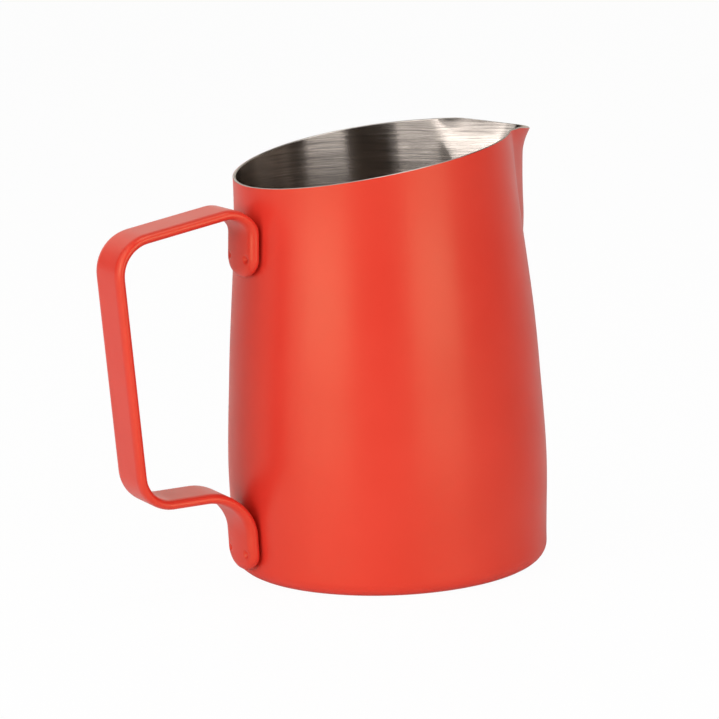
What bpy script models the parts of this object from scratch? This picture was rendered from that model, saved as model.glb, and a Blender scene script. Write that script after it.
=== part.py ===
"""Milk frothing pitcher: a drawn steel cup with a pressed pouring spout and a welded strip handle.

Metres, +Z up. The origin is the middle of the base, the spout points along +X and the handle along -X.
"""
import math

import bmesh
import bpy
import numpy as np
from mathutils import Vector

# Cup wall: outside radii from the foot to the mouth, heights from the base, drops and rises from the back rim
FOOT_RADIUS = 0.0400
BASE_CORNER = 0.0040
BELLY_RADIUS = 0.0405
BELLY_HEIGHT = 0.0256
SHOULDER_RADIUS = 0.0392
SHOULDER_DROP = 0.0481
NECK_RADIUS = 0.0362
NECK_DROP = 0.0030
MOUTH_RADIUS = 0.0363
MOUTH_RISE = 0.0088
WALL = 0.0008

# Mouth: lowest at the back, over the handle, and cut along a slanted arc that rises to the spout
BACK_RIM_HEIGHT = 0.0990
RIM_SLOPE = math.radians(8.64)
RIM_ARC = 0.7920
RIM_CROWN = 0.0002

# Spout: pressed out of the wall, which flattens on both sides as it gives up its metal
SPOUT_START_DROP = 0.0392
SPOUT_FULL_DROP = 0.0005
SPOUT_LIFT = 0.00385
SPOUT_HALF_ANGLE = math.radians(30.4)
FLAT_DEPTH = 0.0031
FLAT_HALF_ANGLE = math.radians(129)
LIP_HEIGHT = 0.0085
LIP_RADIUS = 0.0129
LIP_DIP = 0.0037

# Handle strip: width and thickness, with edges rounded right over
STRIP_WIDTH = 0.0145
STRIP_THICKNESS = 0.0025

# Handle line: the weld rows, the arms above them, how far the grip stands out, and the bends
UPPER_WELD_DROP = 0.0172
LOWER_WELD_HEIGHT = 0.0084
UPPER_ARM_RISE = 0.0126
LOWER_ARM_RISE = 0.0157
UPPER_ARM_SLOPE = math.radians(9.6)
UPPER_REACH = 0.0357
LOWER_REACH = 0.0274
UPPER_TAB_BEND = 0.0056
UPPER_GRIP_BEND = 0.0089
LOWER_GRIP_BEND = 0.0080
LOWER_TAB_BEND = 0.0110

# Tabs: formed round the wall, with rounded ends and a pair of welds each
TAB_OVERHANG = 0.0049
TAB_ROUND = 0.0050
TAB_STANDOFF = 0.0005
WELD_SPACING = 0.0088
WELD_RADIUS = 0.0012
WELD_POCKET = 0.0009
DIMPLE_RADIUS = 0.0012
DIMPLE_DEPTH = 0.0004
CLEARANCE = 0.00025

# Facets, closer together at the spout and the rim
COLUMNS = 72
COLUMN_CROWDING = 0.55
WALL_ROWS = 24
ROW_CROWDING = 1.15
CORNER_ROWS = 3
BEND_STEPS = 8
FACE_POINTS = 7
EDGE_POINTS = 3
END_ROWS = 5
WELD_SIDES = 20

# Finishes: linear colour, roughness and metallic
RED_COAT = ((0.78, 0.066, 0.040, 1.0), 0.45, 0.0)
BARE_STEEL = ((0.62, 0.60, 0.57, 1.0), 0.30, 1.0)
WELD_STEEL = ((0.42, 0.41, 0.40, 1.0), 0.50, 1.0)

# Step for measuring slopes
PROBE = 1e-5


def smoothstep(t):
    """Rise from 0 to 1 with level ends."""
    t = np.clip(t, 0.0, 1.0)
    return t * t * (3.0 - 2.0 * t)


def bell(t):
    """A bump that is 1 at the middle and level with nothing from -1 and 1 outwards."""
    return np.cos(np.pi * np.clip(t, -1.0, 1.0) / 2.0) ** 2


def wall_radius(z):
    """Outside radius of the turned cup, on a smooth curve through its five named radii."""
    heights = [BASE_CORNER, BELLY_HEIGHT, BACK_RIM_HEIGHT - SHOULDER_DROP,
               BACK_RIM_HEIGHT - NECK_DROP, BACK_RIM_HEIGHT + MOUTH_RISE]
    radii = [FOOT_RADIUS, BELLY_RADIUS, SHOULDER_RADIUS, NECK_RADIUS, MOUTH_RADIUS]
    heights, radii = np.array(heights), np.array(radii)
    steps = np.diff(heights)
    grades = np.diff(radii) / steps
    slopes = np.zeros(len(radii))
    slopes[1:-1] = (grades[:-1] * steps[1:] + grades[1:] * steps[:-1]) / (steps[:-1] + steps[1:])
    slopes[-1] = grades[-1]
    span = np.clip(np.searchsorted(heights, z) - 1, 0, len(steps) - 1)
    run = steps[span]
    t = (z - heights[span]) / run
    low = radii[span] * (2 * t ** 3 - 3 * t ** 2 + 1) + slopes[span] * run * (t ** 3 - 2 * t ** 2 + t)
    high = radii[span + 1] * (3 * t ** 2 - 2 * t ** 3) + slopes[span + 1] * run * (t ** 3 - t ** 2)
    return low + high


def cut_height(x):
    """Height of the slanted cut across the mouth, lowest at the back of the neck."""
    def along(distance):
        return math.tan(RIM_SLOPE) * distance - distance ** 2 / (2.0 * RIM_ARC)
    return BACK_RIM_HEIGHT + along(x) - along(-NECK_RADIUS)


def lip_root():
    """Height where the lip of the spout starts to curl out."""
    return cut_height(MOUTH_RADIUS + SPOUT_LIFT) - LIP_DIP - LIP_HEIGHT


def keel_lift(z):
    """How far the keel of the spout stands out from the turned wall."""
    start = BACK_RIM_HEIGHT - SPOUT_START_DROP
    full = BACK_RIM_HEIGHT - SPOUT_FULL_DROP
    curl = np.maximum(z - lip_root(), 0.0) ** 2 / (2.0 * LIP_RADIUS)
    return SPOUT_LIFT * smoothstep((z - start) / (full - start)) + curl


def flat_depth(z):
    """How far the wall is drawn in beside the spout."""
    start = BACK_RIM_HEIGHT - SPOUT_START_DROP
    return FLAT_DEPTH * (np.maximum(z - start, 0.0) / (lip_root() + LIP_HEIGHT - start)) ** 2


def cup_radius(angle, z):
    """Outside radius of the cup with its spout; the angle is counted from the spout."""
    flat = flat_depth(z)
    pressed = (keel_lift(z) + flat) * bell(angle / SPOUT_HALF_ANGLE)
    return wall_radius(z) + pressed - flat * bell(angle / FLAT_HALF_ANGLE)


def cup_points(angle, z):
    """Points on the outside of the cup."""
    radius = cup_radius(angle, z)
    return np.stack([radius * np.cos(angle), radius * np.sin(angle), z], axis=-1)


def cup_directions(angle, z):
    """Outward normals of the cup, and the directions that run up its wall."""
    round_way = cup_points(angle + PROBE, z) - cup_points(angle - PROBE, z)
    up_way = cup_points(angle, z + PROBE) - cup_points(angle, z - PROBE)
    normal = np.cross(round_way, up_way)
    normal /= np.linalg.norm(normal, axis=-1, keepdims=True)
    up_way /= np.linalg.norm(up_way, axis=-1, keepdims=True)
    return normal, up_way


def rim_height(angle):
    """Height of the mouth's edge: the slanted cut, drawn down where the lip curls out."""
    height = np.full_like(angle, BACK_RIM_HEIGHT)
    for _ in range(12):
        x = cup_radius(angle, height) * np.cos(angle)
        height = cut_height(x) - LIP_DIP * bell(angle / SPOUT_HALF_ANGLE)
    return height


def cup_rings():
    """Rings of points from the middle of the base, up the outside, over the rim and down the inside."""
    even = np.linspace(-math.pi, math.pi, COLUMNS, endpoint=False)
    angle = even - COLUMN_CROWDING * np.sin(even)
    level = np.zeros_like(angle)
    inner_corner = BASE_CORNER - WALL

    def corner_ring(radius, turn):
        reach = FOOT_RADIUS - BASE_CORNER + radius * math.sin(turn)
        height = BASE_CORNER - radius * math.cos(turn)
        return np.stack([reach * np.cos(angle), reach * np.sin(angle), level + height], axis=-1)

    turns = [math.pi / 2 * row / CORNER_ROWS for row in range(CORNER_ROWS)]
    outside = [corner_ring(BASE_CORNER, turn) for turn in turns]
    inside = [corner_ring(inner_corner, turn) for turn in turns]
    rim = rim_height(angle)
    for row in range(WALL_ROWS + 1):
        share = 1.0 - (1.0 - row / WALL_ROWS) ** ROW_CROWDING
        z = BASE_CORNER + share * (rim - RIM_CROWN - BASE_CORNER)
        points = cup_points(angle, z)
        normal, up_way = cup_directions(angle, z)
        outside.append(points)
        inside.append(points - WALL * normal)
    crest = outside[-1] - WALL / 2 * normal + RIM_CROWN * up_way
    return outside, [crest] + inside[::-1]


def new_object(name, mesh, materials, parent):
    """Add a mesh to the scene as one named piece."""
    piece = bpy.data.objects.new(name, mesh)
    for material in materials:
        mesh.materials.append(material)
    mesh.shade_smooth()
    mesh.set_sharp_from_angle(angle=math.radians(40))
    piece.parent = parent
    bpy.context.collection.objects.link(piece)
    return piece


def make_vessel(materials, parent):
    """The drawn cup: coated faces outside, bare steel on the rim and inside."""
    outside, inside = cup_rings()
    rings = outside + inside
    points = [tuple(point) for ring in rings for point in ring]
    faces = []
    for row in range(len(rings) - 1):
        for column in range(COLUMNS):
            after = (column + 1) % COLUMNS
            low, high = row * COLUMNS, (row + 1) * COLUMNS
            faces.append((low + column, low + after, high + after, high + column))
    base_middle = len(points)
    floor_middle = base_middle + 1
    points += [(0.0, 0.0, 0.0), (0.0, 0.0, WALL)]
    last = (len(rings) - 1) * COLUMNS
    for column in range(COLUMNS):
        after = (column + 1) % COLUMNS
        faces.append((base_middle, after, column))
        faces.append((floor_middle, last + column, last + after))
    mesh = bpy.data.meshes.new("vessel")
    mesh.from_pydata(points, [], faces)
    bare_from = (len(outside) - 1) * COLUMNS
    bare_to = (len(rings) - 1) * COLUMNS
    for face in mesh.polygons:
        bare_wall = bare_from <= face.index < bare_to
        bare_floor = floor_middle in face.vertices
        face.material_index = 1 if bare_wall or bare_floor else 0
    return new_object("vessel", mesh, materials, parent)


def wall_beside(height, below, above):
    """The wall's grade over a stretch round a height, and how far it bulges past that straight line."""
    z = np.concatenate([np.linspace(-below, 0.0, 20), np.linspace(0.0, above, 20)]) + height
    z = np.maximum(z, BASE_CORNER)
    radius = wall_radius(z)
    grade = (radius[-1] - radius[0]) / (z[-1] - z[0])
    bulge = np.max(radius - wall_radius(height) - grade * (z - height))
    return float(grade), max(0.0, float(bulge))


def tab_rows():
    """Name, weld height, rise to the arm, grade and stand-off of each tab, clear of the wall all along."""
    rows = []
    for name, height, rise in (("upper", BACK_RIM_HEIGHT - UPPER_WELD_DROP, UPPER_ARM_RISE),
                               ("lower", LOWER_WELD_HEIGHT, LOWER_ARM_RISE)):
        grade, bulge = wall_beside(height, TAB_OVERHANG, rise)
        rows.append((name, height, rise, grade, TAB_STANDOFF + bulge))
    return rows


def tab_line(weld_height, rise, grade, standoff):
    """The weld row and the arm corner of a tab that runs along the wall, and the tab's radius at the weld."""
    radius = float(wall_radius(weld_height)) + standoff + STRIP_THICKNESS / 2
    weld = Vector((-radius, weld_height))
    corner = Vector((-radius - grade * rise, weld_height + rise))
    return weld, corner, radius


def left_of(direction):
    """The direction turned a quarter to the left."""
    return Vector((-direction.y, direction.x))


def bend(before, corner, after, radius):
    """Points and directions along a bend that rounds a corner of the handle line."""
    way_in = (corner - before).normalized()
    way_out = (after - corner).normalized()
    turn = math.atan2(way_in.x * way_out.y - way_in.y * way_out.x, way_in.dot(way_out))
    side = math.copysign(1.0, turn)
    start = corner - way_in * radius * math.tan(abs(turn) / 2)
    centre = start + left_of(way_in) * side * radius
    stations = []
    for step in range(BEND_STEPS + 1):
        part = turn * step / BEND_STEPS
        way = Vector((way_in.x * math.cos(part) - way_in.y * math.sin(part),
                      way_in.x * math.sin(part) + way_in.y * math.cos(part)))
        stations.append((centre - left_of(way) * side * radius, way))
    return stations


def handle_rows():
    """Stations along the strip: place, direction, flat half-width, edge direction, wrap and its radius."""
    core = (STRIP_WIDTH - STRIP_THICKNESS) / 2
    end_core = TAB_ROUND - STRIP_THICKNESS / 2
    upper, lower = [tab_line(*row[1:]) for row in tab_rows()]
    upper_weld, upper_corner, upper_radius = upper
    lower_weld, lower_corner, lower_radius = lower
    arm = Vector((-UPPER_REACH, -UPPER_REACH * math.tan(UPPER_ARM_SLOPE)))
    grip_top = upper_corner + arm
    grip_foot = lower_corner + Vector((-LOWER_REACH, 0.0))
    bends = [bend(upper_weld, upper_corner, grip_top, UPPER_TAB_BEND),
             bend(upper_corner, grip_top, grip_foot, UPPER_GRIP_BEND),
             bend(grip_top, grip_foot, lower_corner, LOWER_GRIP_BEND),
             bend(grip_foot, lower_corner, lower_weld, LOWER_TAB_BEND)]

    def tab_end(weld, corner, heading, radius):
        """Rows over a tab's rounded end, from full width to the tip."""
        down = (weld - corner).normalized()
        middle = weld + down * (TAB_OVERHANG - TAB_ROUND)
        rows = []
        for row in range(END_ROWS + 1):
            turn = math.pi / 2 * row / END_ROWS
            edge = Vector((math.cos(turn) / core, math.sin(turn) / end_core)).normalized()
            place = middle + down * end_core * math.sin(turn)
            width = core * math.cos(turn)
            rows.append((place, heading * down, width, edge.x, heading * edge.y, 1.0, radius))
        return rows

    rows = tab_end(upper_weld, upper_corner, -1, upper_radius)[::-1]
    wraps = [(1.0, 0.0), (0.0, 0.0), (0.0, 0.0), (0.0, 1.0)]
    for stations, (wrap_in, wrap_out) in zip(bends, wraps):
        for step, (place, way) in enumerate(stations):
            wrap = wrap_in + (wrap_out - wrap_in) * float(smoothstep(step / BEND_STEPS))
            radius = upper_radius if wrap_in else lower_radius
            rows.append((place, way, core, 1.0, 0.0, wrap, radius))
    return rows + tab_end(lower_weld, lower_corner, 1, lower_radius)


def strip_section(place, way, width, edge_out, edge_along, wrap, radius):
    """The points round the strip at one station, wrapped round the cup on the tabs."""
    half = STRIP_THICKNESS / 2
    across = np.linspace(-1.0, 1.0, FACE_POINTS) * width
    turns = math.pi / 2 - math.pi * np.arange(1, EDGE_POINTS + 1) / (EDGE_POINTS + 1)
    flat = [(y, half, 0.0) for y in across]
    edge = [(width + half * math.cos(turn) * edge_out, half * math.sin(turn),
             half * math.cos(turn) * edge_along) for turn in turns]
    back = [(y, -half, 0.0) for y in across[::-1]]
    far_edge = [(-y, depth, along) for y, depth, along in edge[::-1]]
    points = []
    for y, depth, along in flat + edge + back + far_edge:
        spot = place + left_of(way) * depth + way * along
        swing = wrap * y / radius
        reach = -spot.x
        y_wrapped = reach * math.sin(y / radius)
        points.append((-reach * math.cos(swing), y + wrap * (y_wrapped - y), spot.y))
    return points


def weld_places():
    """The four welds: name, wall point, outward normal, and how far out the weld and the tab start."""
    places = []
    for row, height, _, _, standoff in tab_rows():
        swing = WELD_SPACING / 2 / (float(wall_radius(height)) + standoff + STRIP_THICKNESS / 2)
        foot = wall_beside(height, WELD_RADIUS, WELD_RADIUS)[1] + CLEARANCE
        for side, sign in (("left", -1), ("right", 1)):
            angle = np.array([math.pi + sign * swing])
            z = np.array([height])
            normal, _ = cup_directions(angle, z)
            point = Vector(cup_points(angle, z)[0])
            places.append((f"weld_{row}_{side}", point, Vector(normal[0]), foot, standoff))
    return places


def make_cutter(name, shape, parent):
    """A hidden cutter with one copy of a shape at every weld, which the shape's function adds to the mesh."""
    mesh = bmesh.new()
    for place in weld_places():
        shape(mesh, *place[1:])
    data = bpy.data.meshes.new(name)
    mesh.to_mesh(data)
    mesh.free()
    cutter = bpy.data.objects.new(name, data)
    cutter.hide_render = True
    cutter.display_type = "WIRE"
    cutter.parent = parent
    bpy.context.collection.objects.link(cutter)
    return cutter


def add_pocket(mesh, point, normal, foot, standoff):
    """A round pocket in the back of the tab, where a weld reaches in."""
    depth = standoff + WELD_POCKET - foot
    turn = normal.to_track_quat("Z", "Y").to_matrix().to_4x4()
    turn.translation = point + normal * (foot + depth / 2)
    radius = WELD_RADIUS + CLEARANCE
    bmesh.ops.create_cone(mesh, cap_ends=True, segments=WELD_SIDES, radius1=radius, radius2=radius,
                          depth=depth, matrix=turn)


def add_dimple(mesh, point, normal, _, standoff):
    """The round dimple that the welding punch leaves in the front of the tab."""
    ball = (DIMPLE_RADIUS ** 2 + DIMPLE_DEPTH ** 2) / (2 * DIMPLE_DEPTH)
    turn = normal.to_track_quat("Z", "Y").to_matrix().to_4x4()
    turn.translation = point + normal * (standoff + STRIP_THICKNESS - DIMPLE_DEPTH + ball)
    bmesh.ops.create_uvsphere(mesh, u_segments=WELD_SIDES, v_segments=WELD_SIDES, radius=ball, matrix=turn)


def make_handle(material, parent):
    """The bent strip, with weld pockets behind its tabs and dimples in front."""
    sections = [strip_section(*row) for row in handle_rows()]
    count = len(sections[0])
    mesh = bmesh.new()
    rings = [[mesh.verts.new(point) for point in section] for section in sections]
    for ring, after in zip(rings, rings[1:]):
        for index in range(count):
            beside = (index + 1) % count
            mesh.faces.new((ring[index], ring[beside], after[beside], after[index]))
    bmesh.ops.remove_doubles(mesh, verts=mesh.verts, dist=1e-6)
    bmesh.ops.recalc_face_normals(mesh, faces=mesh.faces)
    data = bpy.data.meshes.new("handle")
    mesh.to_mesh(data)
    mesh.free()
    handle = new_object("handle", data, [material], parent)
    for name, shape in (("weld_pockets", add_pocket), ("weld_dimples", add_dimple)):
        cut = handle.modifiers.new(name, "BOOLEAN")
        cut.operation = "DIFFERENCE"
        cut.solver = "EXACT"
        cut.object = make_cutter(name, shape, parent)
    return handle


def make_welds(material, parent):
    """The weld nuggets, which reach from the wall into the pockets of the tabs."""
    for name, point, normal, foot, standoff in weld_places():
        length = standoff + WELD_POCKET - CLEARANCE - foot
        mesh = bmesh.new()
        bmesh.ops.create_cone(mesh, cap_ends=True, segments=WELD_SIDES, radius1=WELD_RADIUS,
                              radius2=WELD_RADIUS, depth=length)
        data = bpy.data.meshes.new(name)
        mesh.to_mesh(data)
        mesh.free()
        weld = new_object(name, data, [material], parent)
        weld.location = point + normal * (foot + length / 2)
        weld.rotation_euler = normal.to_track_quat("Z", "Y").to_euler()


def make_material(name, colour, roughness, metallic):
    """A plain finish."""
    material = bpy.data.materials.new(name)
    material.use_nodes = True
    shader = material.node_tree.nodes["Principled BSDF"]
    shader.inputs["Base Color"].default_value = colour
    shader.inputs["Roughness"].default_value = roughness
    shader.inputs["Metallic"].default_value = metallic
    return material


def main():
    for leftover in list(bpy.data.objects):
        bpy.data.objects.remove(leftover, do_unlink=True)
    pitcher = bpy.data.objects.new("pitcher", None)
    bpy.context.collection.objects.link(pitcher)
    coat = make_material("red_coat", *RED_COAT)
    steel = make_material("bare_steel", *BARE_STEEL)
    weld_steel = make_material("weld_steel", *WELD_STEEL)
    make_vessel([coat, steel], pitcher)
    make_handle(coat, pitcher)
    make_welds(weld_steel, pitcher)


main()
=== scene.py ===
# %% [markdown]
# # A milk frothing pitcher
# The real pitcher is two pieces of sheet steel. The cup is drawn from a disc, cut on a slant across the mouth,
# and has a spout pressed out of its wall. The handle is a flat strip that is bent four times and welded on by
# a tab at each end. The outside is powder coated, the inside is bare steel with a brushed grain.
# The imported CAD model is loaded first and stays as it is: every piece made here lies where its solid lies.

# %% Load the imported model
import math

import bpy
from mathutils import Matrix, Vector


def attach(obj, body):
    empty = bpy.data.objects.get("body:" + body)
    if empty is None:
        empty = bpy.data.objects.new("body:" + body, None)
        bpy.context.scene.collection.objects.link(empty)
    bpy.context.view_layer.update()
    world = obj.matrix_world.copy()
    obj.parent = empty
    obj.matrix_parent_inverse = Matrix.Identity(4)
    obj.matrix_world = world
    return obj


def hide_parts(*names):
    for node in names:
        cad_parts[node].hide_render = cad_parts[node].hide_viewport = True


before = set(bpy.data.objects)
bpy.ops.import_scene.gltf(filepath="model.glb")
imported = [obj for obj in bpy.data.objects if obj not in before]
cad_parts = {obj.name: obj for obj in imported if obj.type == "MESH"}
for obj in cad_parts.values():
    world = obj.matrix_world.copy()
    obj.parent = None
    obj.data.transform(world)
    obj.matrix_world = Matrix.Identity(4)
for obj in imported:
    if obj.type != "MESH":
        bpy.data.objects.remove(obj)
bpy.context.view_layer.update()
print("nodes:", sorted(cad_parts))

# %% [markdown]
# ## The camera
# The picture was taken a little above the rim, from the handle's side, with a long lens, so there is little
# perspective. A camera can be aimed with a Track To constraint, but the picture also leans by two degrees, so the
# three axes are worked out here and go straight into the camera's matrix. The lens shift moves the picture's
# middle to where the photograph has it.

# %% Camera
IMAGE_SIDE = 719
AZIMUTH = math.radians(28.0)
ELEVATION = math.radians(11.09)
ROLL = math.radians(-1.98)
DISTANCE = 0.72436
AIM = Vector((0.0, 0.0, 0.05))
FOCAL_PIXELS = 2865.5
AXIS_PIXEL = (384.27, 365.68)

back = Vector((-math.sin(AZIMUTH) * math.cos(ELEVATION), -math.cos(AZIMUTH) * math.cos(ELEVATION),
               math.sin(ELEVATION)))
level = Vector((math.cos(AZIMUTH), -math.sin(AZIMUTH), 0.0))
upright = back.cross(level)
sideways = level * math.cos(ROLL) + upright * math.sin(ROLL)
upwards = upright * math.cos(ROLL) - level * math.sin(ROLL)

lens = bpy.data.cameras.new("camera")
lens.sensor_width = 36.0
lens.lens = FOCAL_PIXELS / IMAGE_SIDE * lens.sensor_width
lens.shift_x = (IMAGE_SIDE / 2 - AXIS_PIXEL[0]) / IMAGE_SIDE
lens.shift_y = (AXIS_PIXEL[1] - IMAGE_SIDE / 2) / IMAGE_SIDE
lens.clip_start = 0.01
camera = bpy.data.objects.new("camera", lens)
turn = Matrix((sideways, upwards, back)).transposed().to_4x4()
camera.matrix_world = Matrix.Translation(AIM + back * DISTANCE) @ turn
bpy.context.collection.objects.link(camera)
bpy.context.scene.camera = camera
print("lens", round(lens.lens, 1), "mm")

# %% [markdown]
# ## Formulas as nodes
# The cup follows a rule: its radius at each angle and height is a sum of smooth curves. Geometry Nodes can hold
# such a rule, but wiring dozens of Math nodes by hand is slow to write and hard to read. This small class lets
# Python's own arithmetic add the nodes, so the rule below reads like a formula.

# %% Helpers for node trees
class Field:
    """A number that flows through a node tree; arithmetic on it adds Math nodes."""

    def __init__(self, socket):
        self.socket = socket

    def op(self, operation, *others):
        node = self.socket.id_data.nodes.new("ShaderNodeMath")
        node.operation = operation
        for slot, value in zip(node.inputs, (self,) + others):
            feed(slot, value)
        return Field(node.outputs[0])

    def __add__(self, other):
        return self.op("ADD", other)

    def __sub__(self, other):
        return self.op("SUBTRACT", other)

    def __mul__(self, other):
        return self.op("MULTIPLY", other)

    def __truediv__(self, other):
        return self.op("DIVIDE", other)

    def __rsub__(self, other):
        return self * -1.0 + other

    __radd__ = __add__
    __rmul__ = __mul__


def feed(slot, value):
    """Link a value to a node's input, or set it there if it is a plain number."""
    source = value.socket if isinstance(value, Field) else value
    if isinstance(source, bpy.types.NodeSocket):
        slot.id_data.links.new(source, slot)
    else:
        slot.default_value = source


def add_node(tree, kind, inputs=None, **settings):
    """Add a node, choose its settings, and feed its inputs by name."""
    node = tree.nodes.new(kind)
    for name, value in settings.items():
        setattr(node, name, value)
    for name, value in (inputs or {}).items():
        feed(node.inputs[name], value)
    return node


def limit(value, low=0.0, high=1.0):
    return value.op("MAXIMUM", low).op("MINIMUM", high)


def smoothstep(value):
    t = limit(value)
    return t * t * (3.0 - 2.0 * t)


def bell(value):
    """A bump that is 1 in the middle and fades out level at -1 and 1."""
    wave = (limit(value, -1.0, 1.0) * (math.pi / 2)).op("COSINE")
    return wave * wave


def over(value, threshold):
    """1 where the value is above the threshold, and 0 elsewhere."""
    return value.op("GREATER_THAN", threshold)


def mix(low, high, share):
    return low + (high - low) * share


def vector(tree, x, y, z):
    return add_node(tree, "ShaderNodeCombineXYZ", {"X": x, "Y": y, "Z": z}).outputs[0]


def split(tree, socket):
    return [Field(out) for out in add_node(tree, "ShaderNodeSeparateXYZ", {"Vector": socket}).outputs]


# %% Helpers for whole trees
SEAM = 1e-6


def new_tree(name, sizes, result, materials=()):
    """A node tree with a named input for each size and material. Returns it with its inputs as fields."""
    tree = bpy.data.node_groups.new(name, "GeometryNodeTree")
    tree.interface.new_socket("Geometry", in_out="INPUT", socket_type="NodeSocketGeometry")
    for size, value in sizes.items():
        socket = tree.interface.new_socket(size, in_out="INPUT", socket_type="NodeSocketFloat")
        socket.default_value = value
    for material in materials:
        tree.interface.new_socket(material, in_out="INPUT", socket_type="NodeSocketMaterial")
    tree.interface.new_socket(result[0], in_out="OUTPUT", socket_type=result[1])
    entry = tree.nodes.new("NodeGroupInput")
    return tree, {socket.name: Field(socket) for socket in entry.outputs if socket.name}


def sealed(tree, surface, material):
    """Join the edges where a grid meets itself, shade it smooth, and give it a material."""
    closed = add_node(tree, "GeometryNodeMergeByDistance", {"Geometry": surface, "Distance": SEAM})
    smooth = add_node(tree, "GeometryNodeSetShadeSmooth", {"Geometry": closed.outputs[0]})
    real = add_node(tree, "GeometryNodeRealizeInstances", {"Geometry": smooth.outputs[0]})
    return add_node(tree, "GeometryNodeSetMaterial", {"Geometry": real.outputs[0], "Material": material}).outputs[0]


def run_tree(piece, tree, values):
    """Run a tree on a piece with these inputs, and keep the result as the piece's plain mesh."""
    modifier = piece.modifiers.new(tree.name, "NODES")
    modifier.node_group = tree
    for socket in tree.interface.items_tree:
        if socket.in_out == "INPUT" and socket.name in values:
            modifier[socket.identifier] = values[socket.name]
    bpy.context.view_layer.update()
    depsgraph = bpy.context.evaluated_depsgraph_get()
    plain = bpy.data.meshes.new_from_object(piece.evaluated_get(depsgraph), depsgraph=depsgraph)
    piece.modifiers.remove(modifier)
    start = piece.data
    piece.data = plain
    bpy.data.meshes.remove(start)
    plain.name = piece.name
    print(piece.name, len(plain.polygons), "faces")
    return piece


def new_piece(name, points=(), edges=()):
    """An object at the origin for a tree to work on."""
    mesh = bpy.data.meshes.new(name)
    mesh.from_pydata(points, edges, [])
    piece = bpy.data.objects.new(name, mesh)
    bpy.context.collection.objects.link(piece)
    return piece


# %% [markdown]
# ## The red coat
# Powder coat is sprayed on dry and melted in an oven. It flows into a satin skin with a very fine orange peel, and
# its colour is even, with a slight cloudiness. A mirror-like clear coat would show sharp reflections, which the
# photograph has none of, so this is one rough layer: a noise tints the red a little, a second one moves the
# roughness, and a fine one gives the peel as a bump.

# %% Red coat
NOISE_LOW, NOISE_HIGH = 0.3, 0.7
COAT_LOW, COAT_HIGH = (0.705, 0.035, 0.021), (0.740, 0.040, 0.025)
COAT_SHINE = (0.70, 0.93, 0.50, 1.0)
COAT_ROUGHNESS = (0.31, 0.35)
CLOUD_SCALE, PATCH_SCALE, PEEL_SCALE = 45.0, 120.0, 1800.0
PEEL_HEIGHT = 0.00001


def new_material(name):
    material = bpy.data.materials.new(name)
    material.use_nodes = True
    return material, material.node_tree, material.node_tree.nodes["Principled BSDF"]


def noise(tree, coordinates, scale, detail=2.0, roughness=0.5):
    node = add_node(tree, "ShaderNodeTexNoise", {"Vector": coordinates, "Scale": scale, "Detail": detail,
                                                 "Roughness": roughness})
    return Field(node.outputs["Fac"])


def spread(tree, value, low, high):
    """Stretch the middle of a noise over a range."""
    node = add_node(tree, "ShaderNodeMapRange", {"Value": value, "From Min": NOISE_LOW, "From Max": NOISE_HIGH,
                                                 "To Min": low, "To Max": high})
    return Field(node.outputs[0])


def tint(tree, share, low, high):
    """A colour between two, by a share from 0 to 1."""
    node = add_node(tree, "ShaderNodeMix", data_type="RGBA")
    feed(node.inputs[0], share)
    feed(node.inputs[6], (*low, 1.0))
    feed(node.inputs[7], (*high, 1.0))
    return node.outputs[2]


def bump(tree, height, distance):
    node = add_node(tree, "ShaderNodeBump", {"Height": height, "Distance": distance, "Strength": 1.0})
    return node.outputs[0]


red_coat, tree, shader = new_material("red_coat")
place = add_node(tree, "ShaderNodeTexCoord").outputs["Object"]
cloud = spread(tree, noise(tree, place, CLOUD_SCALE), 0.0, 1.0)
feed(shader.inputs["Base Color"], tint(tree, cloud, COAT_LOW, COAT_HIGH))
feed(shader.inputs["Roughness"], spread(tree, noise(tree, place, PATCH_SCALE, 3.0), *COAT_ROUGHNESS))
feed(shader.inputs["Normal"], bump(tree, noise(tree, place, PEEL_SCALE), PEEL_HEIGHT))
shader.inputs["Specular IOR Level"].default_value = 0.5
shader.inputs["Specular Tint"].default_value = COAT_SHINE
print("made", red_coat.name)

# %% [markdown]
# ## Bare steel
# The inside keeps the grain of the sanding belt: fine scratches that run round the cup. They scatter light up and
# down much more than sideways, so every reflection is drawn out into an upright band. The shader's anisotropy does
# that on the piece's own UV map, which runs round and up the wall, and a noise that is stretched along the
# scratches breaks the bands into fine lines.

# %% Brushed steel
# Steps of the grain round the cup and up the wall, and each grain's share.
COARSE_GRAIN, FINE_GRAIN = (9.0, 260.0), (24.0, 1100.0)
COARSE_SHARE, FINE_SHARE = 0.55, 0.45
QUARTER_TURN = 0.25
STEEL_DARK, STEEL_LIGHT = (0.10, 0.085, 0.075), (0.78, 0.69, 0.62)
EDGE_DARK, EDGE_LIGHT = (0.48, 0.44, 0.40), (0.62, 0.58, 0.54)


def stretched(tree, uv, across, along):
    """Coordinates for a grain: few steps round the cup, many up the wall."""
    node = add_node(tree, "ShaderNodeMapping", {"Vector": uv, "Scale": (across, along, 1.0)})
    return node.outputs[0]


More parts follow.
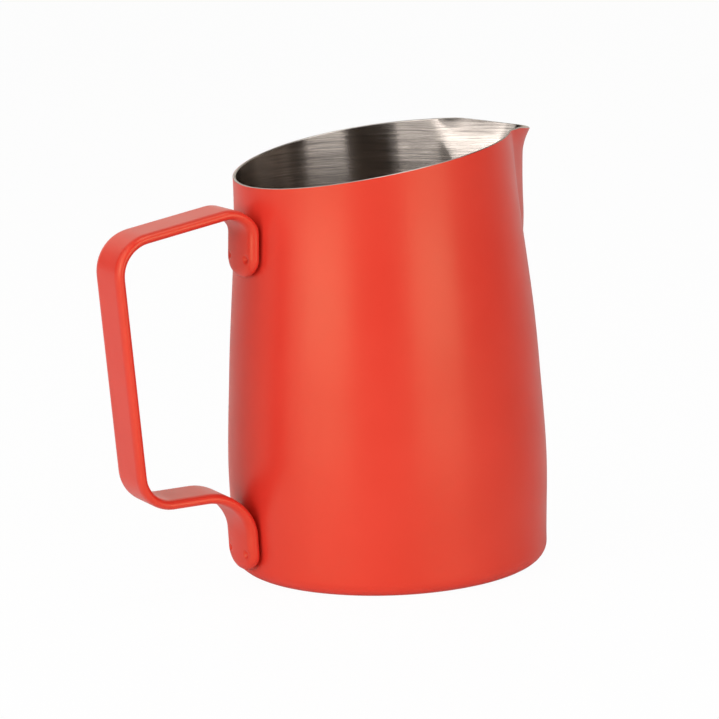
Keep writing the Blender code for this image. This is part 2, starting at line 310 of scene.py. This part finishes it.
def brushed(name, low, high, smooth, rough, grain):
    """Steel with a grain: two tones, two roughnesses, and the depth of the scratches."""
    material, tree, shader = new_material(name)
    uv = add_node(tree, "ShaderNodeUVMap", uv_map="wall").outputs[0]
    coarse = noise(tree, stretched(tree, uv, *COARSE_GRAIN), 1.0, 4.0, 0.65)
    fine = noise(tree, stretched(tree, uv, *FINE_GRAIN), 1.0, 3.0, 0.6)
    scratches = coarse * COARSE_SHARE + fine * FINE_SHARE
    feed(shader.inputs["Base Color"], tint(tree, spread(tree, scratches, 0.0, 1.0), low, high))
    feed(shader.inputs["Roughness"], spread(tree, scratches, smooth, rough))
    feed(shader.inputs["Normal"], bump(tree, scratches, grain))
    tangent = add_node(tree, "ShaderNodeTangent", direction_type="UV_MAP", uv_map="wall")
    feed(shader.inputs["Tangent"], tangent.outputs[0])
    shader.inputs["Metallic"].default_value = 1.0
    shader.inputs["Anisotropic"].default_value = 1.0
    shader.inputs["Anisotropic Rotation"].default_value = QUARTER_TURN
    return material


brushed_steel = brushed("brushed_steel", STEEL_DARK, STEEL_LIGHT, smooth=0.21, rough=0.27, grain=0.000012)
cut_edge = brushed("cut_edge", EDGE_DARK, EDGE_LIGHT, smooth=0.30, rough=0.40, grain=0.000005)
print("made", brushed_steel.name, "and", cut_edge.name)

# %% [markdown]
# ## The cup's rule
# A lathe profile could be revolved and the spout pushed out by hand, but then the two would only fit at one size.
# The radius is instead one formula of the angle and the height: a smooth profile through five named radii, a spout
# that lifts the wall, a lip that curls out at its top, and a wide, shallow bell that draws the sides in, because the
# press takes the spout's metal from there.
#
# The spout opens like a fan: narrow at its foot and wide at the lip. Its nose is round, its flanks are slightly
# hollow, and each flank leaves the wall in a soft crease. With "Flank sweep" at 0 the fan becomes a plain bell. That
# simpler wall is used only to find how high the rim lies, so that the cut stays one even line.
#
# The formula is a node group, because the cup needs it six times: for the wall, twice for its slopes, and three
# times to find where the slanted cut meets it.

# %% Cup radius
CUP = {
    "Foot radius": 0.0400,
    "Base corner": 0.0040,
    "Belly radius": 0.0405,
    "Belly height": 0.0256,
    "Shoulder radius": 0.0392,
    "Shoulder drop": 0.0481,
    "Neck radius": 0.0362,
    "Neck drop": 0.0030,
    "Mouth radius": 0.0363,
    "Mouth rise": 0.0088,
    "Back rim height": 0.0990,
    "Rim slope": math.tan(math.radians(8.64)),
    "Rim arc": 0.7920,
    "Spout start drop": 0.0392,
    "Spout full drop": 0.0112,
    "Spout lift": 0.0046,
    "Spout half angle": math.radians(30.4),
    "Flat depth": 0.0031,
    "Flat half angle": math.radians(129.0),
    "Lip height": 0.0060,
    "Lip radius": 0.0096,
    "Lip dip": 0.0034,
}


def wall_radius(size, z):
    """The lathe profile: a smooth curve through five radii, each stretch added as its own clamped cubic."""
    back_rim = size["Back rim height"]
    heights = [size["Base corner"], size["Belly height"], back_rim - size["Shoulder drop"],
               back_rim - size["Neck drop"], back_rim + size["Mouth rise"]]
    radii = [size[name + " radius"] for name in ("Foot", "Belly", "Shoulder", "Neck", "Mouth")]
    runs = [high - low for low, high in zip(heights, heights[1:])]
    gains = [high - low for low, high in zip(radii, radii[1:])]
    grades = [gain / run for gain, run in zip(gains, runs)]
    slopes = [0.0]
    for k in range(len(runs) - 1):
        slopes.append((grades[k] * runs[k + 1] + grades[k + 1] * runs[k]) / (runs[k] + runs[k + 1]))
    slopes.append(grades[-1])
    total = radii[0]
    for k, run in enumerate(runs):
        t = limit((z - heights[k]) / run)
        left = 1.0 - t
        total = total + gains[k] * t * t * (3.0 - 2.0 * t)
        total = total + run * slopes[k] * t * left * left - run * slopes[k + 1] * t * t * left
    return total


def cut_height(size, x):
    """The slanted cut across the mouth, lowest at the back of the neck."""
    neck = size["Neck radius"]
    return size["Back rim height"] + size["Rim slope"] * (x + neck) - (x * x - neck * neck) / (2.0 * size["Rim arc"])


# The fan's spread and the lip's, as shares of the spout's half angle, and the foot's as a share of the fan's.
SKIRT, LIP_SHARE, FAN_FOOT = 1.12, 1.35, 0.42
# How late the fan opens, how round its nose is, how soft the crease is, and how hollow the flanks are.
FAN_POWER, NOSE, CREASE, FLANK_POWER = 2.42, 0.205, 0.04, 1.3

PLACE = {"Angle": 0.0, "Height": 0.0, "Flank sweep": 1.0}
radius_group, size = new_tree("cup_radius", {**PLACE, **CUP}, ("Radius", "NodeSocketFloat"))
angle, z = size["Angle"], size["Height"]
lip_top = cut_height(size, size["Mouth radius"] + size["Spout lift"]) - size["Lip dip"]
spout_start = size["Back rim height"] - size["Spout start drop"]
spout_full = size["Back rim height"] - size["Spout full drop"]
curl = (z - lip_top + size["Lip height"]).op("MAXIMUM", 0.0)
keel = size["Spout lift"] * smoothstep((z - spout_start) / (spout_full - spout_start))
rise = (z - spout_start).op("MAXIMUM", 0.0) / (lip_top - spout_start)
flat = size["Flat depth"] * rise * rise
spread_out = angle / size["Spout half angle"]
fan = mix(FAN_FOOT, 1.0, rise.op("POWER", FAN_POWER))
nose = fan.op("POWER", -1.0) * NOSE
reach = spread_out / (SKIRT * fan)
reach = ((reach * reach + nose * nose).op("SQRT") - nose) / ((1.0 + nose * nose).op("SQRT") - nose)
skirt = 1.0 - reach
skirt = ((skirt + (skirt * skirt + CREASE * CREASE).op("SQRT")) * 0.5).op("POWER", FLANK_POWER)
form = mix(bell(spread_out), skirt, size["Flank sweep"])
lip = bell(spread_out / mix(1.0, LIP_SHARE, size["Flank sweep"]))
radius = wall_radius(size, z) + (keel + flat) * form + curl * curl / (2.0 * size["Lip radius"]) * lip
radius = radius - flat * bell(angle / size["Flat half angle"])
add_node(radius_group, "NodeGroupOutput", {"Radius": radius})
print("cup rule:", len(radius_group.nodes), "nodes")

# %% [markdown]
# ## The cup's shell
# The shell is a grid of points that wraps round: columns go round the cup, and rows go from the middle of the base,
# up the outside, over the rim, and back down the inside. Each point sits on the rule's surface and is then set in
# along the wall's normal, by more on the inside than on the outside, which gives the sheet its thickness. One tree
# makes both the steel cup and the thin coat over it, with different insets.
#
# The rim's height is found in three steps along the wall, each nearer to the slanted cut. It dips at the lip, where
# milk pours, and it has a top limit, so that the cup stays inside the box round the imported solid.

# %% Cup tree
COLUMNS = 220
BASE_ROWS, CORNER_ROWS, WALL_ROWS, RIM_ROWS = 10, 8, 80, 6
SIDE_ROWS = BASE_ROWS + CORNER_ROWS + WALL_ROWS
ALL_ROWS = 2 * SIDE_ROWS + RIM_ROWS
COLUMN_CROWD, ROW_CROWD = 0.5, 1.6
TURN_STEP, SLOPE_STEP = 0.004, 0.0003
RIM_STEPS, RIM_TOP, DIP_POWER = 3, 0.10900, 0.74
MAP_SCALE = 10.0

SHELL = {"Outer inset": 0.0, "Inner inset": 0.0008, "Rim drop": 0.0002, "Rim crown": 0.0002}
cup_tree, size = new_tree("cup_shell", {**CUP, **SHELL}, ("Geometry", "NodeSocketGeometry"), ("Wall", "Edge"))


def cup_radius(angle, z, sweep=1.0):
    """One use of the cup's rule."""
    inputs = {"Angle": angle, "Height": z, "Flank sweep": sweep, **{name: size[name] for name in CUP}}
    node = add_node(cup_tree, "GeometryNodeGroup", node_tree=radius_group)
    for name, value in inputs.items():
        feed(node.inputs[name], value)
    return Field(node.outputs[0])


grid = add_node(cup_tree, "GeometryNodeMeshGrid", {"Vertices X": COLUMNS + 1, "Vertices Y": ALL_ROWS + 1})
u, v, _ = split(cup_tree, grid.outputs["UV Map"])
even = (u - 0.5) * (2.0 * math.pi)
angle = even - COLUMN_CROWD * even.op("SINE")
row = v * float(ALL_ROWS)
side = row.op("MINIMUM", float(ALL_ROWS) - row)
over_rim = limit((row - float(SIDE_ROWS)) / float(RIM_ROWS))

rim = size["Back rim height"]
for _ in range(RIM_STEPS):
    rim = cut_height(size, cup_radius(angle, rim, 0.0) * angle.op("COSINE"))
    rim = rim - size["Lip dip"] * bell(angle / size["Spout half angle"]).op("POWER", DIP_POWER)
rim = rim.op("MINIMUM", RIM_TOP)

disc = limit(side / float(BASE_ROWS))
turn = limit((side - float(BASE_ROWS)) / float(CORNER_ROWS)) * (math.pi / 2)
climb = limit((side - float(BASE_ROWS + CORNER_ROWS)) / float(WALL_ROWS))
on_wall = over(side, BASE_ROWS + CORNER_ROWS + 0.5)
corner = size["Base corner"]
z_wall = corner + (1.0 - (1.0 - climb).op("POWER", ROW_CROWD)) * (rim - size["Rim drop"] - corner)
r_wall = cup_radius(angle, z_wall)
r_turn = (cup_radius(angle + TURN_STEP, z_wall) - r_wall) / TURN_STEP
r_climb = (cup_radius(angle, z_wall + SLOPE_STEP) - r_wall) / SLOPE_STEP
base_reach = (size["Foot radius"] - corner) * disc
r = mix(base_reach + corner * turn.op("SINE"), r_wall, on_wall)
z = mix(corner * (1.0 - turn.op("COSINE")), z_wall, on_wall)

length = (r_wall * r_wall * (1.0 + r_climb * r_climb) + r_turn * r_turn).op("SQRT")
normal_out = mix(turn.op("SINE"), r_wall / length, on_wall)
normal_round = on_wall * r_turn / length * -1.0
normal_up = mix(turn.op("COSINE") * -1.0, r_wall * r_climb / length * -1.0, on_wall)

across = (1.0 - (over_rim * math.pi).op("COSINE")) * 0.5
inset = mix(size["Outer inset"], size["Inner inset"], across)
crown = size["Rim crown"] * (over_rim * math.pi).op("SINE")
lean = crown / (1.0 + r_climb * r_climb).op("SQRT")
out = r - inset * normal_out + lean * r_climb
around = inset * normal_round * -1.0
height = z - inset * normal_up + lean
cosine, sine = angle.op("COSINE"), angle.op("SINE")
position = vector(cup_tree, out * cosine - around * sine, out * sine + around * cosine, height)

shaped = add_node(cup_tree, "GeometryNodeSetPosition", {"Geometry": grid.outputs["Mesh"], "Position": position})
wall_map = vector(cup_tree, u, (base_reach + z) * MAP_SCALE, 0.0)
mapped = add_node(cup_tree, "GeometryNodeStoreNamedAttribute",
                  {"Geometry": shaped.outputs[0], "Name": "wall", "Value": wall_map},
                  data_type="FLOAT2", domain="CORNER")
walled = sealed(cup_tree, mapped.outputs[0], size["Wall"])
on_rim = over(over_rim, 0.0) * (1.0 - over(over_rim, 0.999))
edged = add_node(cup_tree, "GeometryNodeSetMaterial",
                 {"Geometry": walled, "Selection": on_rim, "Material": size["Edge"]})
add_node(cup_tree, "NodeGroupOutput", {"Geometry": edged.outputs[0]})
print("cup tree:", len(cup_tree.nodes), "nodes")

# %% [markdown]
# ## The cup and its coat
# The coat is a tenth of a millimetre thick. It could be a colour on the cup's outside, but as a shell of its own it
# ends in a real edge just under the rim, where the bare sheet shows, and the steel inside keeps its own finish.

# %% Cup pieces
COAT = 0.0001
HAIR = 0.00002

STEEL_SHELL = {"Outer inset": COAT + HAIR, "Rim drop": 0.000205, "Wall": brushed_steel, "Edge": cut_edge}
COAT_SHELL = {"Outer inset": 0.00005, "Inner inset": COAT, "Rim drop": 0.00017, "Rim crown": 0.00005,
              "Wall": red_coat, "Edge": red_coat}
cup = run_tree(new_piece("cup"), cup_tree, STEEL_SHELL)
cup_coat = run_tree(new_piece("cup_coat"), cup_tree, COAT_SHELL)
for piece, slot in ((cup, "bare_steel"), (cup_coat, "red_coat")):
    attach(piece, "root")
    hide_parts("vessel")

# %% [markdown]
# ## The handle
# A flat strip is bent in a press: out from the upper tab, down into the grip, back in at the foot, and down again
# into the lower tab. The tabs are pressed round to fit the cup, rounded at the end, and each has two dimples where
# the welding punch pushed. A curve with a bevel could make the strip, but not the curved tabs. So the tree follows a
# bent line and lays a grid round it: rows go along the line, columns round the strip's rounded section, and near
# the cup the section is wrapped round the cup's axis.

# %% Handle line
# Places along the strip's middle, in millimetres: distance behind the axis, height, and the bend's radius.
HANDLE_LINE = [
    (-38.626, 81.900, 0.0),
    (-37.968, 94.400, 5.6),
    (-73.662, 88.362, 8.9),
    (-69.704, 24.100, 8.0),
    (-42.304, 24.100, 11.0),
    (-41.910, 8.500, 0.0),
]

handle = new_piece("handle", [(x / 1000, 0.0, z / 1000) for x, z, _ in HANDLE_LINE],
                   [(k, k + 1) for k in range(len(HANDLE_LINE) - 1)])
bends = handle.data.attributes.new("bend", "FLOAT", "POINT")
for entry, (_, _, bend_radius) in zip(bends.data, HANDLE_LINE):
    entry.value = bend_radius / 1000
print("handle line:", len(HANDLE_LINE), "corners")

# %% Handle tree
STRIP = {
    "Strip width": 0.0145,
    "Strip thickness": 0.0025,
    "Edge reach": 0.0023,
    "Wall edge reach": 0.0008,
    "Tab press": 0.0004,
    "Tab round": 0.0050,
    "Upper tab radius": 0.038631,
    "Upper tab bend": 0.0056,
    "Upper weld height": 0.0818,
    "Lower tab radius": 0.041908,
    "Lower tab bend": 0.0110,
    "Lower weld height": 0.0084,
    "Weld spacing": 0.0088,
    "Dimple radius": 0.0014,
    "Dimple depth": 0.0006,
}
FACE_STEPS, EDGE_STEPS, END_STEPS, LINE_STEPS = 64, 10, 36, 220
ROUND_STEPS = 2 * (FACE_STEPS + EDGE_STEPS)
STRIP_ROWS = 2 * END_STEPS + LINE_STEPS
TAB_SIDE, MIDDLE_HEIGHT = 0.055, 0.05
BEND_POINTS, LINE_SPACING = 24, 0.0004
END_CROWD = 0.75

handle_tree, size = new_tree("bent_strip", STRIP, ("Geometry", "NodeSocketGeometry"), ("Coat",))
corners = add_node(handle_tree, "GeometryNodeMeshToCurve", {"Mesh": size["Geometry"]})
bend_radius = add_node(handle_tree, "GeometryNodeInputNamedAttribute", {"Name": "bend"}, data_type="FLOAT")
bent = add_node(handle_tree, "GeometryNodeFilletCurve",
                {"Curve": corners.outputs[0], "Count": BEND_POINTS, "Radius": bend_radius.outputs[0]}, mode="POLY")
line = add_node(handle_tree, "GeometryNodeResampleCurve",
                {"Curve": bent.outputs[0], "Length": LINE_SPACING}, mode="LENGTH")

grid = add_node(handle_tree, "GeometryNodeMeshGrid",
                {"Vertices X": ROUND_STEPS + 1, "Vertices Y": STRIP_ROWS + 1})
u, v, _ = split(handle_tree, grid.outputs["UV Map"])
row = v * float(STRIP_ROWS)
first = limit(1.0 - row / float(END_STEPS)) * (math.pi / 2)
last = limit((row - float(END_STEPS + LINE_STEPS)) / float(END_STEPS)) * (math.pi / 2)
share = limit((row - float(END_STEPS)) / float(LINE_STEPS))
share = share - (share * (2.0 * math.pi)).op("SINE") * (END_CROWD / (2.0 * math.pi))
sample = add_node(handle_tree, "GeometryNodeSampleCurve",
                  {"Curves": line.outputs[0], "Factor": share}, mode="FACTOR")
line_x, _, line_z = split(handle_tree, sample.outputs["Position"])
way_x, _, way_z = split(handle_tree, sample.outputs["Tangent"])

half = size["Strip thickness"] * 0.5
step = u * float(ROUND_STEPS)
out_over = limit(step / float(FACE_STEPS))
edge_near = limit((step - float(FACE_STEPS)) / float(EDGE_STEPS))
back_under = limit((step - float(FACE_STEPS + EDGE_STEPS)) / float(FACE_STEPS))
edge_far = limit((step - float(2 * FACE_STEPS + EDGE_STEPS)) / float(EDGE_STEPS))
swing = (0.5 - edge_near - edge_far) * math.pi

upper = over(line_z, MIDDLE_HEIGHT)
tab_radius = mix(size["Lower tab radius"], size["Upper tab radius"], upper)
tab_bend = mix(size["Lower tab bend"], size["Upper tab bend"], upper)
bent_out = limit((line_x * -1.0 - tab_radius) / tab_bend)
wrap = 1.0 - smoothstep((1.0 - bent_out).op("ARCCOSINE") * (2.0 / math.pi))
to_wall = over(swing.op("SINE") * way_z * -1.0, 0.0)
press = size["Tab press"] * wrap
soft = mix(size["Edge reach"], size["Wall edge reach"], to_wall * wrap)
depth = (half + press * (1.0 - 2.0 * to_wall)) * swing.op("SINE") - press * way_z

slant = first + last
core = size["Strip width"] * 0.5 - soft
end_core = size["Tab round"] - soft
edge_out, edge_on = slant.op("COSINE") * end_core, slant.op("SINE") * core
edge_length = (edge_out * edge_out + edge_on * edge_on).op("SQRT")
soft_out = soft * swing.op("COSINE") * edge_out / edge_length
soft_on = soft * swing.op("COSINE").op("ABSOLUTE") * edge_on / edge_length
y = core * slant.op("COSINE") * (2.0 * out_over - 2.0 * back_under - 1.0) + soft_out
end_way = over(row, STRIP_ROWS / 2) * 2.0 - 1.0
along = end_core * (last.op("SINE") - first.op("SINE")) + soft_on * end_way

weld_height = mix(size["Lower weld height"], size["Upper weld height"], upper)
from_weld = y.op("ABSOLUTE") - size["Weld spacing"] * 0.5
below_weld = line_z + along * way_z - weld_height
near_weld = (from_weld * from_weld + below_weld * below_weld).op("SQRT") / size["Dimple radius"]
facing = over(depth * way_z, 0.0) * (1.0 - over(line_x * -1.0, TAB_SIDE))
depth = depth * (1.0 - size["Dimple depth"] / half * bell(near_weld) * facing)

spot_x = line_x - way_z * depth + way_x * along
spot_z = line_z + way_x * depth + way_z * along
reach = spot_x * -1.0
wrapped_x = reach * (wrap * y / tab_radius).op("COSINE") * -1.0
wrapped_y = mix(y, reach * (y / tab_radius).op("SINE"), wrap)
position = vector(handle_tree, wrapped_x, wrapped_y, spot_z)

shaped = add_node(handle_tree, "GeometryNodeSetPosition", {"Geometry": grid.outputs["Mesh"], "Position": position})
add_node(handle_tree, "NodeGroupOutput", {"Geometry": sealed(handle_tree, shaped.outputs[0], size["Coat"])})
run_tree(handle, handle_tree, {"Coat": red_coat})
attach(handle, "root")
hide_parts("handle")

# %% [markdown]
# ## The welds
# Behind each dimple a small nugget of melted steel holds the tab to the wall. It is only seen from the side, in the
# narrow gap. One nugget is made, squeezed to a waist and made a little lumpy, and a tree sets it on the four places.

# %% Weld metal
WELD_DARK, WELD_LIGHT = (0.30, 0.27, 0.25), (0.50, 0.48, 0.46)
WELD_ROUGHNESS = (0.42, 0.62)
WELD_CLOUD_SCALE, WELD_GRIT_SCALE, WELD_GRIT = 900.0, 2500.0, 0.00003

weld_steel, tree, shader = new_material("weld_steel")
place = add_node(tree, "ShaderNodeTexCoord").outputs["Object"]
cloud = noise(tree, place, WELD_CLOUD_SCALE, 4.0, 0.6)
feed(shader.inputs["Base Color"], tint(tree, spread(tree, cloud, 0.0, 1.0), WELD_DARK, WELD_LIGHT))
feed(shader.inputs["Roughness"], spread(tree, cloud, *WELD_ROUGHNESS))
feed(shader.inputs["Normal"], bump(tree, noise(tree, place, WELD_GRIT_SCALE, 3.0), WELD_GRIT))
shader.inputs["Metallic"].default_value = 1.0

# %% Weld nuggets
# Places on the wall, in millimetres: along, across and up, then the wall's slope there, and the gap.
WELD_ROWS = [(-36.5397, 4.1799, 81.8, 0.0675, 0.603), (-39.8412, 4.1984, 8.4, -0.0257, 0.596)]
WELD = {"Weld radius": 0.0012, "Waist": 0.25, "Lumps": 0.00008}
WELD_SINK = 0.00006
NUGGET_STEPS = {"Vertices": 28, "Side Segments": 8, "Fill Segments": 3}
LUMP_SCALE, LUMP_SEED = 1200.0, 7.0

points, outward, gaps = [], [], []
for x, y, z, slope, gap in WELD_ROWS:
    for hand in (1, -1):
        normal = Vector((x, y * hand, math.hypot(x, y) * slope)).normalized()
        points.append(Vector((x, y * hand, z)) / 1000 + normal * gap / 2000)
        outward.append(normal)
        gaps.append(gap / 1000 + WELD_SINK)
welds = new_piece("weld_nuggets", points)
ways = welds.data.attributes.new("outward", "FLOAT_VECTOR", "POINT")
ways.data.foreach_set("vector", sum(map(list, outward), []))
welds.data.attributes.new("gap", "FLOAT", "POINT").data.foreach_set("value", gaps)

weld_tree, size = new_tree("weld_nuggets", WELD, ("Geometry", "NodeSocketGeometry"), ("Metal",))
nugget = add_node(weld_tree, "GeometryNodeMeshCylinder",
                  {**NUGGET_STEPS, "Radius": size["Weld radius"], "Depth": 1.0})
spot = add_node(weld_tree, "GeometryNodeInputPosition").outputs[0]
x, y, z = split(weld_tree, spot)
squeeze = 1.0 - size["Waist"] * (1.0 - 4.0 * z * z)
waisted = add_node(weld_tree, "GeometryNodeSetPosition",
                   {"Geometry": nugget.outputs["Mesh"], "Position": vector(weld_tree, x * squeeze, y * squeeze, z)})
normal = add_node(weld_tree, "GeometryNodeInputNamedAttribute", {"Name": "outward"}, data_type="FLOAT_VECTOR")
gap = add_node(weld_tree, "GeometryNodeInputNamedAttribute", {"Name": "gap"}, data_type="FLOAT")
turned = add_node(weld_tree, "FunctionNodeAlignRotationToVector", {"Vector": normal.outputs[0]}, axis="Z")
placed = add_node(weld_tree, "GeometryNodeInstanceOnPoints",
                  {"Points": size["Geometry"], "Instance": waisted.outputs[0], "Rotation": turned.outputs[0],
                   "Scale": vector(weld_tree, 1.0, 1.0, Field(gap.outputs[0]))})
real = add_node(weld_tree, "GeometryNodeRealizeInstances", {"Geometry": placed.outputs[0]})
lump = add_node(weld_tree, "ShaderNodeTexNoise", {"W": LUMP_SEED, "Scale": LUMP_SCALE}, noise_dimensions="4D")
moved = add_node(weld_tree, "GeometryNodeSetPosition", {"Geometry": real.outputs[0]})
scaled = add_node(weld_tree, "ShaderNodeVectorMath", operation="SCALE")
feed(scaled.inputs[0], add_node(weld_tree, "GeometryNodeInputNormal").outputs[0])
feed(scaled.inputs["Scale"], (Field(lump.outputs["Fac"]) - 0.5) * size["Lumps"])
feed(moved.inputs["Offset"], scaled.outputs[0])
smooth = add_node(weld_tree, "GeometryNodeSetShadeSmooth", {"Geometry": moved.outputs[0]})
metal = add_node(weld_tree, "GeometryNodeSetMaterial", {"Geometry": smooth.outputs[0], "Material": size["Metal"]})
add_node(weld_tree, "NodeGroupOutput", {"Geometry": metal.outputs[0]})
run_tree(welds, weld_tree, {"Metal": weld_steel})
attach(welds, "root")
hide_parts("weld_upper_left", "weld_upper_right", "weld_lower_left", "weld_lower_right")

# %% [markdown]
# ## The studio
# The pitcher stands on slightly glossy white paper in a white sweep. A real sweep needs lamps of its own to turn
# pure white. Here the paper and the world shine white by themselves, but only for the camera and for mirrored rays,
# so they light nothing except in reflections. What the steel and the coat mirror is a warm white wall behind the
# pitcher, which fades into a dark room toward the camera. That dark room gives the dark bands inside the cup.

# %% Floor
def light_paths(tree):
    """1 for rays from the camera, and 1 for mirrored ones."""
    path = add_node(tree, "ShaderNodeLightPath")
    return Field(path.outputs["Is Camera Ray"]), Field(path.outputs["Is Glossy Ray"])


PAPER_LOW, PAPER_HIGH = (0.92, 0.92, 0.92), (0.95, 0.95, 0.95)
PAPER_ROUGHNESS = (0.35, 0.42)
TONE_SCALE, SATIN_SCALE, FIBRE_SCALE, FIBRE_HEIGHT = 3.0, 60.0, 400.0, 0.00002
FLOOR_GLOW, FLOOR_SHEEN = 0.97, 0.60
SHEEN_START, SHEEN_WIDTH = 0.3, 1.0
FLOOR_SIDE = 4

paper, tree, shader = new_material("white_paper")
place = add_node(tree, "ShaderNodeTexCoord").outputs["Object"]
feed(shader.inputs["Base Color"], tint(tree, noise(tree, place, TONE_SCALE), PAPER_LOW, PAPER_HIGH))
feed(shader.inputs["Roughness"], spread(tree, noise(tree, place, SATIN_SCALE), *PAPER_ROUGHNESS))
feed(shader.inputs["Normal"], bump(tree, noise(tree, place, FIBRE_SCALE), FIBRE_HEIGHT))
shader.inputs["Specular IOR Level"].default_value = 0.5
seen, mirrored = light_paths(tree)
x, y, _ = split(tree, place)
far = smoothstep(((x * x + y * y).op("SQRT") - SHEEN_START) / SHEEN_WIDTH)
lit = add_node(tree, "ShaderNodeMixShader")
feed(lit.inputs[0], seen * FLOOR_GLOW + mirrored * far * FLOOR_SHEEN)
feed(lit.inputs[1], shader.outputs[0])
feed(lit.inputs[2], add_node(tree, "ShaderNodeEmission").outputs[0])
feed(tree.nodes["Material Output"].inputs["Surface"], lit.outputs[0])

floor = new_piece("floor")
corners = [(x * FLOOR_SIDE, y * FLOOR_SIDE, 0) for x, y in ((-1, -1), (1, -1), (1, 1), (-1, 1))]
floor.data.from_pydata(corners, [], [(0, 1, 2, 3)])
floor.data.materials.append(paper)

# %% World
# Angles from the camera's side round to where the wall begins, and how far it takes to turn white.
RIGHT_WALL, RIGHT_FADE = math.radians(96.0), math.radians(54.0)
LEFT_WALL, LEFT_FADE = math.radians(125.0), math.radians(20.0)
WALL_TOP, WALL_FADE = 0.55, 0.25
WHITE, WARM_WHITE = (1.0, 1.0, 1.0), (1.0, 0.92, 0.83)

world = bpy.data.worlds.new("studio")
bpy.context.scene.world = world
world.use_nodes = True
tree = world.node_tree
ahead = Vector((back.x, back.y, 0.0)).normalized()
x, y, z = split(tree, add_node(tree, "ShaderNodeTexCoord").outputs["Generated"])
turned = (x * level.x + y * level.y).op("ARCTAN2", x * ahead.x + y * ahead.y)
right_end = smoothstep((turned - RIGHT_WALL) / RIGHT_FADE)
left_end = smoothstep((turned * -1.0 - LEFT_WALL) / LEFT_FADE)
wall = (right_end + left_end) * (1.0 - smoothstep((z - WALL_TOP) / WALL_FADE))
seen, mirrored = light_paths(tree)
feed(tree.nodes["Background"].inputs["Color"], tint(tree, mirrored, WHITE, WARM_WHITE))
feed(tree.nodes["Background"].inputs["Strength"], seen + mirrored * wall)
bpy.context.scene.view_settings.view_transform = "Standard"
print("floor and world made")

# %% [markdown]
# ## The lamps
# Two low softboxes stand left and right of the camera and draw the two soft bands down the coat, and the same two
# as upright bands inside the cup. Weaker ones above them fill the upper part of the bands, a narrow one among them
# lights the top of the spout's flank, two panels at the far left light the handle's side, and one softbox hangs
# overhead. A single big sky would light the coat as well, but it would leave the steel inside without its bands.

# %% Lamps
LAMP_DISTANCE = 1.1
# Name, degrees to the camera's right, degrees up, width and height in metres, and brightness.
LAMPS = [
    ("left_softbox", -43.3, 12, 0.74, 0.47, 4.3),
    ("right_softbox", 40, 12, 0.71, 0.47, 4.1),
    ("left_fill", -45, 36, 0.92, 0.55, 1.1),
    ("narrow_fill", -22, 24, 0.13, 0.36, 2.0),
    ("right_fill", 44, 38, 0.80, 0.55, 2.0),
    ("low_side_panel", -77, 12, 0.55, 0.47, 1.2),
    ("high_side_panel", -80, 42, 0.75, 0.75, 1.3),
    ("top_softbox", 0, 89.9, 0.50, 0.50, 4.0),
]


def softbox(name, side, rise, width, height, brightness):
    """A softbox at an angle to the camera's right and a height angle, turned to the middle of the cup."""
    lamp = bpy.data.lights.new(name, "AREA")
    lamp.shape = "RECTANGLE"
    lamp.size, lamp.size_y = width, height
    lamp.energy = brightness * math.pi * width * height
    side, rise = math.radians(side), math.radians(rise)
    flat_way = ahead * math.cos(side) + level * math.sin(side)
    way = flat_way * math.cos(rise) + Vector((0.0, 0.0, math.sin(rise)))
    turn = way.to_track_quat("Z", "Y").to_matrix().to_4x4()
    stand = bpy.data.objects.new(name, lamp)
    stand.matrix_world = Matrix.Translation(AIM + way * LAMP_DISTANCE) @ turn
    stand.visible_camera = False
    bpy.context.collection.objects.link(stand)


for lamp in LAMPS:
    softbox(*lamp)
print(len(LAMPS), "lamps made")
